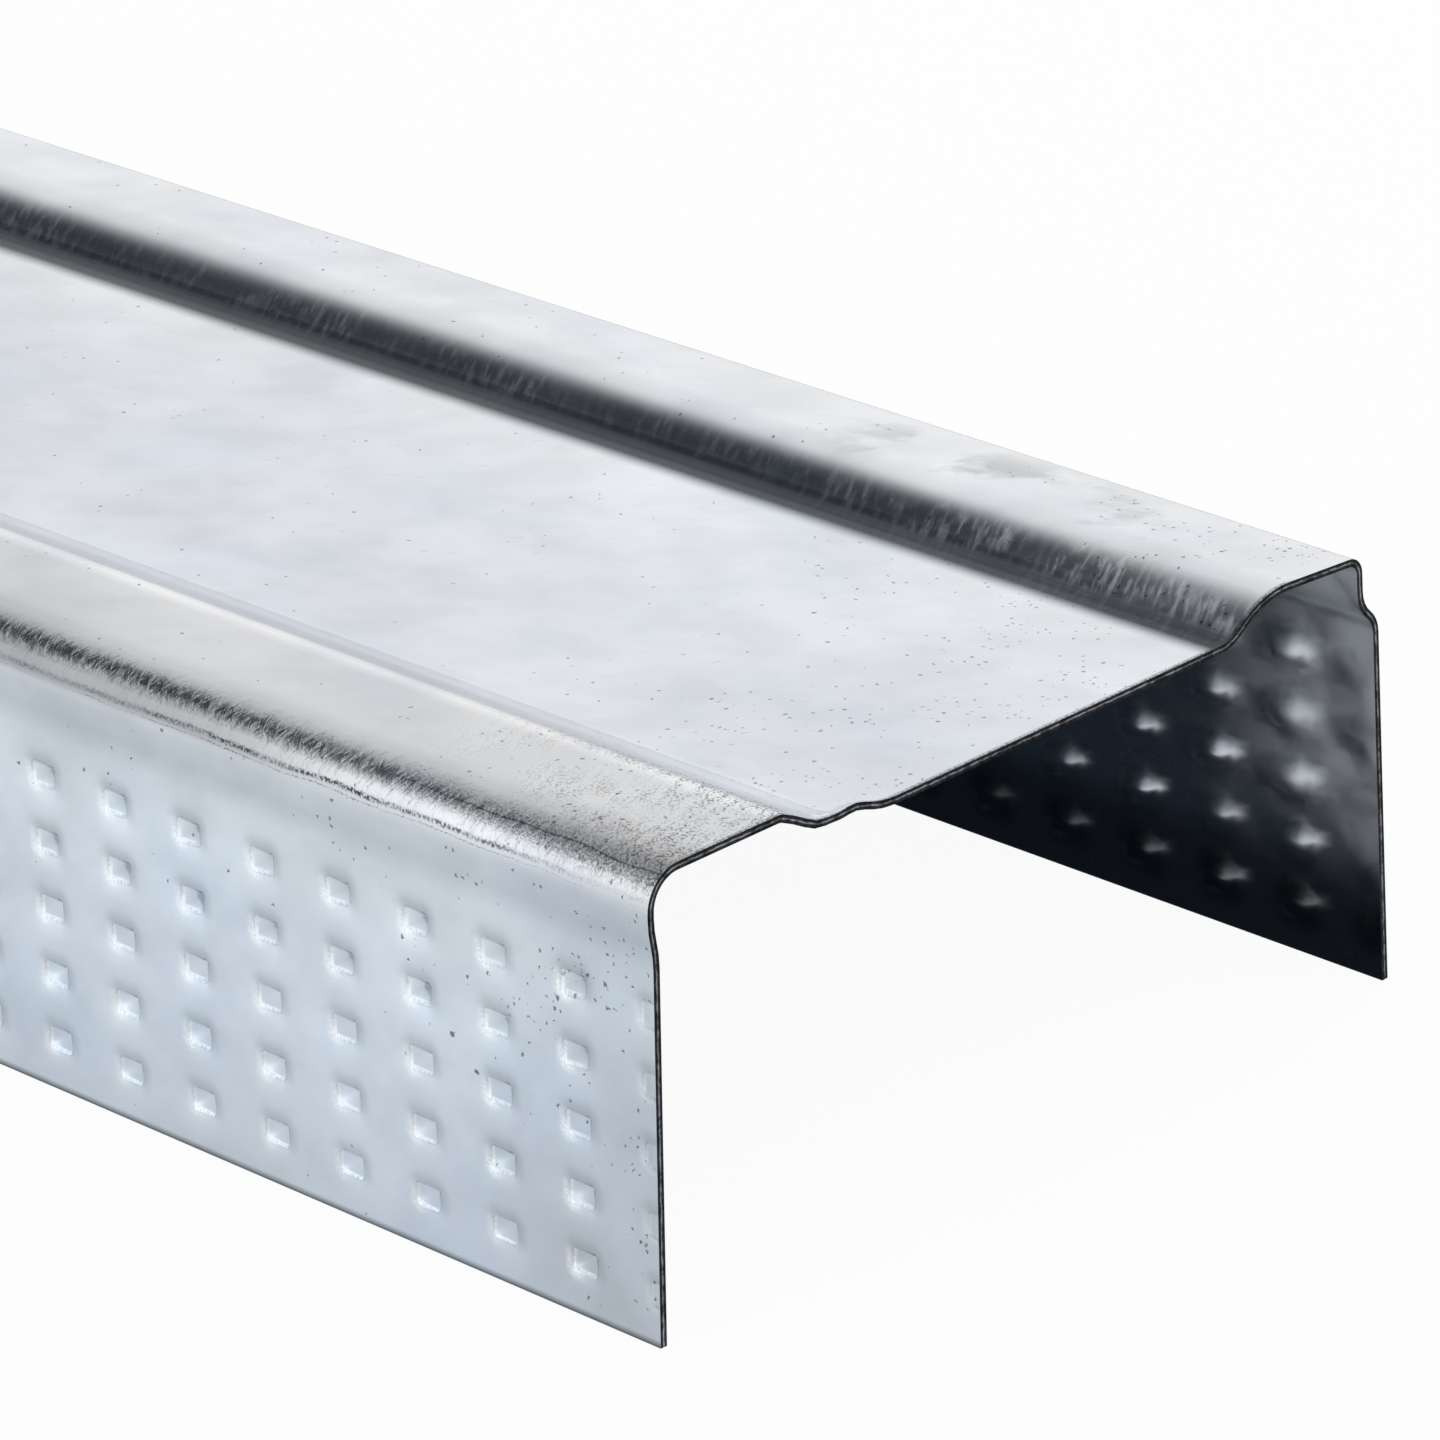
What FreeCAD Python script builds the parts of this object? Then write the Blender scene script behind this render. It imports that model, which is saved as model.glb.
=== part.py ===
import FreeCAD, Part
import math
import os

import Sketcher

# One length of drywall track: a single strip of galvanised sheet, cold-rolled into an open channel.
# It lies on the toes of its two equal flanges, web up, with X along its length. The origin is on the
# floor, midway between the toes. The web has a flat panel sunk between two raised strips. Below its bend
# the near flange, at -Y, is set in a little, and the far flange, at +Y, is set out, so that two can lap.

# Driving sizes in millimetres, with the three slopes in degrees.
sizes = {
    "track_length": (2400, "length as sold"),
    "sheet_thickness": (0.6, "rolled sheet"),
    "toe_width": (76, "outside width over the toes"),
    "flange_height": (35, "both flanges, from the strips' top to the toes"),
    "splay": (1.75, "lean of both flanges outwards, from square to the web"),
    "panel_depth": (2.5, "web panel below the strips' top"),
    "near_margin": (13.1, "start of the near crest, in from the near toe"),
    "far_margin": (16.1, "where the far foot meets the far crest, in from the far toe"),
    "near_riser_slope": (23, "fall of the near riser"),
    "near_crest_radius": (1.5, "near crest, outside face"),
    "near_foot_radius": (2.5, "near foot, outside face"),
    "far_crest_radius": (8, "far crest, outside face"),
    "far_foot_radius": (3, "far foot, outside face"),
    "strip_fall": (3.5, "slope of the far strip down to its bend"),
    "near_bend_radius": (3, "near bend, outside face"),
    "far_bend_radius": (1.5, "far bend, outside face"),
    "set_level": (5.2, "middle of the step in each flange, below the strips' top"),
    "near_set": (0.45, "step of the near flange, inwards"),
    "near_set_radius": (8, "both curves of the near step"),
    "far_set": (1.6, "step of the far flange, outwards"),
    "far_set_radius": (2.5, "both curves of the far step"),
}

doc = FreeCAD.newDocument("drywall_track")
sheet = doc.addObject("Spreadsheet::Sheet", "Sizes")
for row, (alias, (value, note)) in enumerate(sizes.items(), start=1):
    sheet.set(f"A{row}", alias)
    sheet.set(f"B{row}", str(value))
    sheet.set(f"C{row}", note)
    sheet.setAlias(f"B{row}", alias)
doc.recompute()


def size(alias):
    return float(sheet.get(alias))


def step_angle(step, first_radius, second_radius):
    # turn of each of the two curves that carry a line sideways by the step
    return math.acos(1 - step / (first_radius + second_radius))


body = doc.addObject("PartDesign::Body", "Track")
body.Label = "track"
cross_plane = next(plane for plane in body.Origin.OriginFeatures if plane.Role == "YZ_Plane")
section = body.newObject("Sketcher::SketchObject", "OuterFace")
section.AttachmentSupport = [(cross_plane, "")]
section.MapMode = "FlatFace"

# The sketch is the sheet's outer face in cross-section, with its origin at the strips' top.
# It is walked from the near toe to the far toe, and each straight or bend starts where the last
# one ended, with the same heading.
splay = math.radians(size("splay"))
fall = math.radians(size("strip_fall"))
near_slope = math.radians(size("near_riser_slope"))
toe_half = size("toe_width") / 2
square = math.pi / 2

start_point, end_point, centre_point = 1, 2, 3

pen = FreeCAD.Vector(-toe_half, -size("flange_height"), 0)
heading = square - splay
runs = {}


def ray(angle):
    return FreeCAD.Vector(math.cos(angle), math.sin(angle), 0)


def add_run(name, geometry, first, last):
    index = section.addGeometry(geometry, False)
    if runs:
        section.addConstraint(Sketcher.Constraint("Tangent", *end(list(runs)[-1]), index, first))
    runs[name] = (index, first, last)


def straight(name, length):
    global pen
    stop = pen + ray(heading) * length
    add_run(name, Part.LineSegment(pen, stop), start_point, end_point)
    pen = stop


def bend(name, radius, turn):
    global pen, heading
    side = math.copysign(square, turn)
    centre = pen + ray(heading + side) * radius
    circle = Part.Circle(centre, FreeCAD.Vector(0, 0, 1), radius)
    begin = heading - side
    stop = begin + turn
    if turn > 0:
        add_run(name, Part.ArcOfCircle(circle, begin, stop), start_point, end_point)
    else:
        add_run(name, Part.ArcOfCircle(circle, stop, begin), end_point, start_point)
    heading += turn
    pen = centre + ray(stop) * radius


def curve(name):
    return runs[name][0]


def start(name):
    return runs[name][0], runs[name][1]


def end(name):
    return runs[name][0], runs[name][2]


# near flange, its step, and its bend
near_radius = size("near_set_radius")
near_turn = step_angle(size("near_set"), near_radius, near_radius)
near_rise = near_radius * math.sin(near_turn)
near_middle = size("flange_height") - size("set_level") - size("near_set") / 2 * math.sin(splay)
near_corner = size("flange_height") - size("near_set") * math.sin(splay)
near_tangent = size("near_bend_radius") * math.tan((square - splay) / 2)
straight("near_flange", near_middle / math.cos(splay) - near_rise)
bend("near_set_low", near_radius, near_turn)
bend("near_set_high", near_radius, -near_turn)
straight("near_shoulder", (near_corner - near_middle) / math.cos(splay) - near_rise - near_tangent)
bend("near_bend", size("near_bend_radius"), splay - square)

# web: strip, riser, panel, riser, strip
near_crest_radius = size("near_crest_radius")
near_foot_radius = size("near_foot_radius")
near_curves_drop = (near_crest_radius + near_foot_radius) * (1 - math.cos(near_slope))
far_crest_radius = size("far_crest_radius")
far_foot_radius = size("far_foot_radius")
far_riser_turn = step_angle(size("panel_depth"), far_crest_radius, far_foot_radius)
far_foot_width = far_foot_radius * math.sin(far_riser_turn)
far_corner = toe_half - size("flange_height") * math.tan(splay) - size("far_set") / math.cos(splay)
far_tangent = size("far_bend_radius") * math.tan((square - splay - fall) / 2)
straight("near_strip", size("near_margin") - toe_half - pen.x)
bend("near_crest", near_crest_radius, -near_slope)
straight("near_riser", (size("panel_depth") - near_curves_drop) / math.sin(near_slope))
bend("near_foot", near_foot_radius, near_slope)
straight("panel", toe_half - size("far_margin") - far_foot_width - pen.x)
bend("far_foot", far_foot_radius, far_riser_turn)
bend("far_crest", far_crest_radius, -far_riser_turn - fall)
straight("far_strip", (far_corner - pen.x) / math.cos(fall) - far_tangent)

# far bend, the flange's step, and the flange
far_radius = size("far_set_radius")
far_turn = step_angle(size("far_set"), far_radius, far_radius)
bend("far_bend", size("far_bend_radius"), splay + fall - square)
straight("far_shoulder", (pen.y + size("set_level")) / math.cos(splay) - far_radius * math.sin(far_turn))
bend("far_set_high", far_radius, far_turn)
bend("far_set_low", far_radius, -far_turn)
straight("far_flange", (pen.y + size("flange_height")) / math.cos(splay))

# Runs that keep their direction, and curves of one radius.
for name in ("near_strip", "panel"):
    section.addConstraint(Sketcher.Constraint("Horizontal", curve(name)))
for shoulder, flange in (("near_shoulder", "near_flange"), ("far_shoulder", "far_flange")):
    section.addConstraint(Sketcher.Constraint("Parallel", curve(shoulder), curve(flange)))
for one, other in (("near_set_low", "near_set_high"), ("far_set_high", "far_set_low")):
    section.addConstraint(Sketcher.Constraint("Equal", curve(one), curve(other)))

level_axis = -1
origin = (level_axis, start_point)
section.addConstraint(Sketcher.Constraint("PointOnObject", *start("near_strip"), level_axis))


def fix(label, formula, kind, *places, value):
    index = section.addConstraint(Sketcher.Constraint(kind, *places, value))
    section.renameConstraint(index, label)
    section.setExpression(f"Constraints.{label}", formula)


def across(label, formula, left, right, value):
    fix(label, formula, "DistanceX", *left, *right, value=value)


def below(label, formula, place, value):
    fix(label, formula, "DistanceY", *place, *origin, value=value)


across("near_toe_place", "Sizes.toe_width / 2", start("near_flange"), origin, toe_half)
across("far_toe_place", "Sizes.toe_width / 2", origin, end("far_flange"), toe_half)
across("near_crest_at", "Sizes.near_margin", start("near_flange"), start("near_crest"), size("near_margin"))
across("far_foot_at", "Sizes.far_margin", end("far_foot"), end("far_flange"), size("far_margin"))
below("near_toe_level", "Sizes.flange_height", start("near_flange"), size("flange_height"))
below("far_toe_level", "Sizes.flange_height", end("far_flange"), size("flange_height"))
below("near_set_middle", "Sizes.set_level", end("near_set_low"), size("set_level"))
below("far_set_middle", "Sizes.set_level", end("far_set_high"), size("set_level"))
below("panel_level", "Sizes.panel_depth", start("panel"), size("panel_depth"))
# the far crest's centre lies one radius down, so its highest point is level with the near strip
below("far_crest_centre", "Sizes.far_crest_radius", (curve("far_crest"), centre_point), far_crest_radius)
fix("near_splay", "90 - Sizes.splay", "Angle", curve("near_flange"), value=square - splay)
fix("far_splay", "Sizes.splay - 90", "Angle", curve("far_flange"), value=splay - square)
fix("near_riser_fall", "-Sizes.near_riser_slope", "Angle", curve("near_riser"), value=-near_slope)
fix("far_strip_fall", "-Sizes.strip_fall", "Angle", curve("far_strip"), value=-fall)
for flange, place in (("near", start("near_shoulder")), ("far", end("far_shoulder"))):
    step = f"{flange}_set"
    fix(f"{flange}_step", f"Sizes.{step}", "Distance", *place, curve(f"{flange}_flange"), value=size(step))
for run, alias in (
    ("near_crest", "near_crest_radius"),
    ("near_foot", "near_foot_radius"),
    ("far_foot", "far_foot_radius"),
    ("far_crest", "far_crest_radius"),
    ("near_bend", "near_bend_radius"),
    ("far_bend", "far_bend_radius"),
    ("near_set_low", "near_set_radius"),
    ("far_set_high", "far_set_radius"),
):
    fix(f"{run}_radius", f"Sizes.{alias}", "Radius", curve(run), value=size(alias))
doc.recompute()

# The sheet is thickened inwards from its outer face, then carried along the length.
sheet_section = body.newObject("PartDesign::SubShapeBinder", "SheetSection")
sheet_section.Support = [(section, "")]
sheet_section.OffsetFill = True
sheet_section.OffsetOpenResult = True
sheet_section.setExpression("Offset", "Sizes.sheet_thickness")
doc.recompute()

rolled_length = body.newObject("PartDesign::Pad", "RolledLength")
rolled_length.Profile = sheet_section
rolled_length.SideType = "Symmetric"
rolled_length.setExpression("Length", "Sizes.track_length")

# The toes stand on the floor.
body.setExpression("Placement.Base.z", "Sizes.flange_height")
doc.recompute()

for item in doc.Objects:
    if "Invalid" in item.State or "Error" in item.State:
        raise RuntimeError(f"{item.Name} did not build")
if not section.FullyConstrained:
    raise RuntimeError("the section is not fully constrained")
if body.Shape.isNull() or not body.Shape.isValid():
    raise RuntimeError("the track has no valid solid")

os.makedirs("parts", exist_ok=True)
body.Shape.exportStep(f"parts/{body.Label}.step")
print("track", body.Shape.BoundBox, "volume", round(body.Shape.Volume), "mm3")
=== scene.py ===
import math

import bpy
import numpy as np
from mathutils import Matrix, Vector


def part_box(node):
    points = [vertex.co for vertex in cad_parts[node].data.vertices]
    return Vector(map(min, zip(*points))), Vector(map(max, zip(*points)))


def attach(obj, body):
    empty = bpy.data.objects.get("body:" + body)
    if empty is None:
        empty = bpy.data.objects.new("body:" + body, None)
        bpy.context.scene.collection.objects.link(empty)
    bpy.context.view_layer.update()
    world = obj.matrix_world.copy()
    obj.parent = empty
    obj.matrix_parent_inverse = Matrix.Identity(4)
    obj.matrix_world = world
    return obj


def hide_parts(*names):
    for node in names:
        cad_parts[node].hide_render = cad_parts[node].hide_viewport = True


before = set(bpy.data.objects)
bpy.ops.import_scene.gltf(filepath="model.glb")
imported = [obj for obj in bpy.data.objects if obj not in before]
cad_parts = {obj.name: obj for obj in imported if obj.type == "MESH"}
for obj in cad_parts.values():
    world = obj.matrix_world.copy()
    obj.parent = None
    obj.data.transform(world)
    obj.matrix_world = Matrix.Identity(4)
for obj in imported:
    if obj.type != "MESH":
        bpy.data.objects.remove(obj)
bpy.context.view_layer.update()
low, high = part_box("track")
mm = 0.001
cutEnd = high.x / mm                 # the sheared end that the camera looks at
print("frame loaded, track", [round(v, 4) for v in high - low])

# The rolled section in millimetres. Near is -Y, far is +Y.
section = {
    "sheet": 0.6,
    "panelDepth": 2.5,               # web panel below the strips
    "nearMargin": 13.1,              # start of the near crest, in from the near toe
    "farMargin": 16.1,               # where the far foot meets the far crest, in from the far toe
    "nearCrestRadius": 1.5,
    "nearFootRadius": 2.5,
    "farCrestRadius": 8.0,
    "farFootRadius": 3.0,
    "panelEdge": 5.0,                # first part of the panel, cut finer because the cut end is bruised there
    "nearBendRadius": 3.0,
    "farBendRadius": 1.5,
    "stepLevel": 5.2,                # middle of each flange's step, below the strips
    "nearStep": 0.45,
    "nearStepRadius": 8.0,
    "farStep": 1.6,
    "farStepRadius": 2.5,
}
# Its slopes in degrees: both flanges lean outwards, and the far strip falls to its bend.
slopes = {"splay": 1.75, "stripFall": 3.5, "nearRiser": 23.0}
# Pieces that each run of the section is cut into, from the near step to the far one.
runCuts = {
    "nearStepLow": 2, "nearStepHigh": 2, "nearShoulder": 1, "nearBend": 12, "nearStrip": 3, "nearCrest": 3,
    "nearRiser": 5, "nearFoot": 3, "panelEdge": 6, "panel": 5, "farFoot": 5, "farCrest": 7, "farStrip": 2,
    "farBend": 8, "farShoulder": 1, "farStepHigh": 4, "farStepLow": 4,
}
# The dimples pressed into both flanges, in millimetres.
dimples = {
    "rows": 5,
    "pitchAlong": 7.683,
    "pitchUp": 5.165,
    "firstRow": 3.94,                # lowest row above the toe
    "nearFirst": 7.84,               # first whole column from the cut end
    "farFirst": 8.41,
    "rowLead": 0.13,                 # each lower row stands this much nearer to the cut
    "halfAlong": 1.08,               # middle of a dimple
    "halfUp": 0.76,
    "corner": 0.46,
    "edge": 0.24,                    # crisp step round the middle
    "edgeDepth": 0.075,
    "dish": 1.9,                     # soft hollow round the step
    "dishDepth": 0.26,
    "bowl": 0.045,                   # hollow of the middle itself
    "bumpAlong": 2.9,                # half the size of the rounder bump on the inner face
    "bumpUp": 2.1,
    "bumpDepth": 0.95,
    "leastShare": 0.8,               # depth of the faintest dimple, as a share
    "moreShare": 0.4,                # and how much more the deepest has
    "chance": (12.99, 78.23, 5.0, 4375.85),   # what columns, rows, sides and the sine count in that choice
    "cutShare": 0.45,                # what the shear left of the column that it went through
    "cutFlat": 1.1,                  # and how far from the cut it pressed that column flat
    "fineColumns": 10,               # columns near the cut end that get the finest mesh
    "coarseStations": 14,            # stations of the plain web along the rest
    "cutRoom": 0.3,                  # no station of a dimple nearer than this to the cut
    "fineRoom": 0.5,                 # nor to the end of the fine mesh
    "dishStation": 0.55,             # station in the hollow, as a share of it
    "flatStation": 0.15,             # station inside the middle
    "footShare": 0.6,                # foot of a plain dimple, as a share of the hollow
    "lastRoom": 3.0,                 # least room from the last column to the hidden end
}
# The bruise at the cut end, where the near riser meets the panel, in millimetres: a hump and a dip with
# their middles and half widths across and their heights, and how far along both reach.
bruise = {
    "humpAt": -17.7, "humpHalf": 2.1, "hump": 0.85,
    "dipAt": -21.4, "dipHalf": 1.3, "dip": 0.25,
    "reach": 2.6,
}


def walkSection(size, toeHalf, height):
    # The outer face from the near toe to the far toe. Each run starts where the last one ended, with its
    # heading: a straight keeps the heading, and a bend turns it evenly along an arc.
    splay, fall = math.radians(slopes["splay"]), math.radians(slopes["stripFall"])
    square = math.pi / 2
    runs = {}
    pen = {"girth": 0.0, "y": -toeHalf, "z": 0.0, "heading": square - splay}

    def lay(name, length, turn=0.0):
        runs[name] = (pen["girth"], pen["y"], pen["z"], pen["heading"], turn / length)
        chord = length * np.sinc(turn / (2 * math.pi))
        pen["y"] += chord * math.cos(pen["heading"] + turn / 2)
        pen["z"] += chord * math.sin(pen["heading"] + turn / 2)
        pen["heading"] += turn
        pen["girth"] += length

    def bend(name, radius, turn):
        lay(name, radius * abs(turn), turn)

    def stepTurn(step, radii):       # turn of each of the two arcs that carry a line sideways by the step
        return math.acos(1 - step / radii)

    nearTurn = stepTurn(size["nearStep"], 2 * size["nearStepRadius"])
    nearRise = size["nearStepRadius"] * math.sin(nearTurn)
    nearMiddle = height - size["stepLevel"] - size["nearStep"] / 2 * math.sin(splay)
    nearCorner = height - size["nearStep"] * math.sin(splay)
    bendSetback = size["nearBendRadius"] * math.tan((square - splay) / 2)
    lay("nearFlange", nearMiddle / math.cos(splay) - nearRise)
    bend("nearStepLow", size["nearStepRadius"], nearTurn)
    bend("nearStepHigh", size["nearStepRadius"], -nearTurn)
    lay("nearShoulder", (nearCorner - nearMiddle) / math.cos(splay) - nearRise - bendSetback)
    bend("nearBend", size["nearBendRadius"], splay - square)

    riser = math.radians(slopes["nearRiser"])
    curvesDrop = (size["nearCrestRadius"] + size["nearFootRadius"]) * (1 - math.cos(riser))
    farTurn = stepTurn(size["panelDepth"], size["farCrestRadius"] + size["farFootRadius"])
    farFootWidth = size["farFootRadius"] * math.sin(farTurn)
    lay("nearStrip", size["nearMargin"] - toeHalf - pen["y"])
    bend("nearCrest", size["nearCrestRadius"], -riser)
    lay("nearRiser", (size["panelDepth"] - curvesDrop) / math.sin(riser))
    bend("nearFoot", size["nearFootRadius"], riser)
    lay("panelEdge", size["panelEdge"])
    lay("panel", toeHalf - size["farMargin"] - farFootWidth - pen["y"])
    bend("farFoot", size["farFootRadius"], farTurn)
    bend("farCrest", size["farCrestRadius"], -farTurn - fall)

    # the far strip's line meets the line of the flange above its step
    crossing = toeHalf - size["farStep"] / math.cos(splay)
    crossing -= (pen["z"] + pen["y"] * math.tan(fall)) * math.tan(splay)
    farCorner = crossing / (1 - math.tan(fall) * math.tan(splay))
    bendSetback = size["farBendRadius"] * math.tan((square - splay - fall) / 2)
    lay("farStrip", (farCorner - pen["y"]) / math.cos(fall) - bendSetback)
    bend("farBend", size["farBendRadius"], splay + fall - square)
    farStepTurn = stepTurn(size["farStep"], 2 * size["farStepRadius"])
    farRise = size["farStepRadius"] * math.sin(farStepTurn)
    lay("farShoulder", (pen["z"] - height + size["stepLevel"]) / math.cos(splay) - farRise)
    bend("farStepHigh", size["farStepRadius"], farStepTurn)
    bend("farStepLow", size["farStepRadius"], -farStepTurn)
    lay("farFlange", pen["z"] / math.cos(splay))
    return runs, pen["girth"]


runs, girth = walkSection(section, round(high.y / mm, 2), round(high.z / mm, 1))
runTable = np.array(list(runs.values()))
runEnds = dict(zip(runs, np.append(runTable[1:, 0], girth)))
print("section walked,", len(runs), "runs, girth", round(girth, 2), "mm")


def onSection(place):
    # Point and heading at a girth: the point lies one chord from its run's start. The chord is the arc's
    # length times sin(half the turn) over half the turn, and it points along the heading half-way.
    run = runTable[np.clip(np.searchsorted(runTable[:, 0], place, side="right") - 1, 0, len(runTable) - 1)]
    onRun = place - run[:, 0]
    turn = run[:, 4] * onRun
    chord = onRun * np.sinc(turn / (2 * math.pi))
    middle = run[:, 3] + turn / 2
    return run[:, 1] + chord * np.cos(middle), run[:, 2] + chord * np.sin(middle), run[:, 3] + turn


def nearestDimple(along, place):
    # Offsets along and up from the middle of the nearest dimple, and the share of its depth. Column -1 is
    # the one that the cut went through: its share grows with the square of the distance from the cut.
    near = place < girth / 2
    up = np.where(near, place, girth - place)
    row = np.clip(np.round((up - dimples["firstRow"]) / dimples["pitchUp"]), 0, dimples["rows"] - 1)
    lead = dimples["rowLead"] * (dimples["rows"] - 1 - row)
    past = along - np.where(near, dimples["nearFirst"], dimples["farFirst"]) + lead
    column = np.clip(np.round(past / dimples["pitchAlong"]), -1, columnCount - 1)
    cutShare = dimples["cutShare"] * np.clip(along / dimples["cutFlat"], 0, 1) ** 2
    # no two dimples are quite alike: the share takes the fraction of a large multiple of a sine
    perColumn, perRow, perSide, large = dimples["chance"]
    chance = np.sin(perColumn * column + perRow * row + perSide * near) * large
    varied = dimples["leastShare"] + dimples["moreShare"] * (chance - np.floor(chance))
    share = np.where(column < 0, cutShare, varied)
    return past - column * dimples["pitchAlong"], up - dimples["firstRow"] - row * dimples["pitchUp"], share


def fromFlat(offAlong, offUp):
    # distance from the flat middle of a dimple, which is a box with rounded corners
    past = np.maximum(np.abs(offAlong) - dimples["halfAlong"] + dimples["corner"], 0)
    above = np.maximum(np.abs(offUp) - dimples["halfUp"] + dimples["corner"], 0)
    return np.maximum(np.hypot(past, above) - dimples["corner"], 0)


def smoothFall(distance, reach):
    # 1 at no distance, 0 from the reach on, level at both ends: t squared times (3 - 2t)
    t = np.clip(1 - distance / reach, 0, 1)
    return t * t * (3 - 2 * t)


def sheetPoint(along, place, inner):
    # A point of the outer or inner face. The outer face sinks by a crisp step at each dimple's flat middle,
    # by a hollow that falls off with the square of the distance, and by a shallow bowl in the middle. The
    # inner face stands out in a round bump, whose height is the square of 1 less the squares of the two
    # offsets, each over half the bump's size. At the cut a hump and a dip of bell shape lift both faces, and
    # they fade with the square of the distance.
    offAlong, offUp, share = nearestDimple(along, place)
    y, z, heading = onSection(place)
    if inner:
        round2 = (offAlong / dimples["bumpAlong"]) ** 2 + (offUp / dimples["bumpUp"]) ** 2
        sink = section["sheet"] + share * dimples["bumpDepth"] * np.clip(1 - round2, 0, 1) ** 2
    else:
        distance = fromFlat(offAlong, offUp)
        hollow = np.clip(1 - distance / dimples["dish"], 0, 1) ** 2
        bowl = np.clip(1 - (offAlong / dimples["halfAlong"]) ** 2, 0, 1) * (distance < 1e-9)
        sink = dimples["edgeDepth"] * smoothFall(distance, dimples["edge"]) + dimples["dishDepth"] * hollow
        sink = share * (sink + dimples["bowl"] * bowl)
    hump = bruise["hump"] * np.exp(-((y - bruise["humpAt"]) / bruise["humpHalf"]) ** 2)
    dip = bruise["dip"] * np.exp(-((y - bruise["dipAt"]) / bruise["dipHalf"]) ** 2)
    onWeb = (place > runEnds["nearBend"]) & (place < runEnds["panel"])
    lift = np.where(onWeb, (hump - dip) * np.clip(1 - along / bruise["reach"], 0, 1) ** 2, 0)
    return np.column_stack([cutEnd - along, y + np.sin(heading) * sink, z - np.cos(heading) * sink + lift])


def sheetNormal(along, place, inner):
    # The face's direction: the cross product of two small steps on it, towards the cut and round the girth.
    step = 0.02                      # millimetres
    towardCut = sheetPoint(along - step, place, inner) - sheetPoint(along + step, place, inner)
    roundGirth = sheetPoint(along, place + step, inner) - sheetPoint(along, place - step, inner)
    normal = np.cross(towardCut, roundGirth)
    normal /= np.linalg.norm(normal, axis=1, keepdims=True)
    return -normal if inner else normal


def gridPatch(alongs, places):
    # every station along with every girth, and the quads between them
    points = np.stack(np.meshgrid(alongs, places, indexing="ij"), -1).reshape(-1, 2)
    index = np.arange(len(points)).reshape(len(alongs), len(places))
    quads = np.stack([index[:-1, :-1], index[1:, :-1], index[1:, 1:], index[:-1, 1:]], -1)
    return points, quads.reshape(-1, 4)


def zipPatch(lineA, lineB, axis):
    # Triangles between two lines of points that run the same way. Each interval takes as third point the
    # one that the other line has reached when the intervals of both are taken in order of their middles.
    middleA = (lineA[:-1, axis] + lineA[1:, axis]) / 2
    middleB = (lineB[:-1, axis] + lineB[1:, axis]) / 2
    stepA, stepB = np.arange(len(middleA)), np.arange(len(middleB)) + len(lineA)
    fromA = np.stack([stepA, stepA + 1, len(lineA) + np.searchsorted(middleB, middleA)], -1)
    fromB = np.stack([stepB, stepB + 1, np.searchsorted(middleA, middleB, side="right")], -1)
    return np.concatenate([lineA, lineB]), np.concatenate([fromA, fromB])


def dimplePatch(columnAlong, rowPlace, lead):
    # One lattice of plain dimples: each has a ring at the foot of its hollow and a ring round its flat
    # middle, and quads join the rings of neighbours. Gives the points, the quads and the four outer lines.
    corners = np.array([[-1, -1], [1, -1], [1, 1], [-1, 1]])
    half = np.array([dimples["halfAlong"], dimples["halfUp"]])
    rings = np.stack([corners * (half + dimples["footShare"] * dimples["dish"]), corners * half])
    centres = np.stack(np.broadcast_arrays(columnAlong[:, None] - lead[None, :], rowPlace[None, :]), -1)
    points = centres[:, :, None, None, :] + rings
    index = np.arange(points[..., 0].size).reshape(points.shape[:-1])
    foot, flat = index[:, :, 0], index[:, :, 1]
    footNext, flatNext = np.roll(foot, -1, axis=2), np.roll(flat, -1, axis=2)
    quads = [flat, np.stack([foot, footNext, flatNext, flat], -1),
             np.stack([foot[:-1, :, 1], foot[1:, :, 0], foot[1:, :, 3], foot[:-1, :, 2]], -1),
             np.stack([foot[:, :-1, 3], foot[:, :-1, 2], foot[:, 1:, 1], foot[:, 1:, 0]], -1),
             np.stack([foot[:-1, :-1, 2], foot[1:, :-1, 3], foot[1:, 1:, 0], foot[:-1, 1:, 1]], -1)]
    places = points.reshape(-1, 2)
    sides = {
        "low": foot[:, 0, :2], "high": foot[:, -1, [3, 2]],
        "cut": foot[0][:, [0, 3]], "end": foot[-1][:, 1:3],
    }
    lines = {name: places[line.reshape(-1)] for name, line in sides.items()}
    return places, np.concatenate([q.reshape(-1, 4) for q in quads]), lines


def cellStations(half, pitch):
    # stations across one dimple, close together on its crisp step, from one cell edge up to the next
    hollow, step = dimples["dishStation"] * dimples["dish"], dimples["edge"]
    side = half + np.array([hollow, step, step / 2, 0, -dimples["flatStation"]])
    return np.concatenate([[-pitch / 2], -side, side[::-1]])


# stations of the developed sheet: along from the cut end, and girth round the section
length = 2 * cutEnd
columnCount = int((length - dimples["farFirst"] - dimples["lastRoom"]) / dimples["pitchAlong"]) + 1
fineEdge = dimples["nearFirst"] + (dimples["fineColumns"] - 0.5) * dimples["pitchAlong"]
rowShift = dimples["rowLead"] * (dimples["rows"] - 1) / 2
fineCentres = dimples["nearFirst"] - rowShift + np.arange(-1, dimples["fineColumns"]) * dimples["pitchAlong"]
fineAlong = fineCentres[:, None] + cellStations(dimples["halfAlong"], dimples["pitchAlong"])[None, :]
kept = (fineAlong > dimples["cutRoom"]) & (fineAlong < fineEdge - dimples["fineRoom"])
fineAlong = np.concatenate([[0], fineAlong[kept], [fineEdge]])
coarseAlong = np.linspace(fineEdge, length, dimples["coarseStations"])

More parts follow.
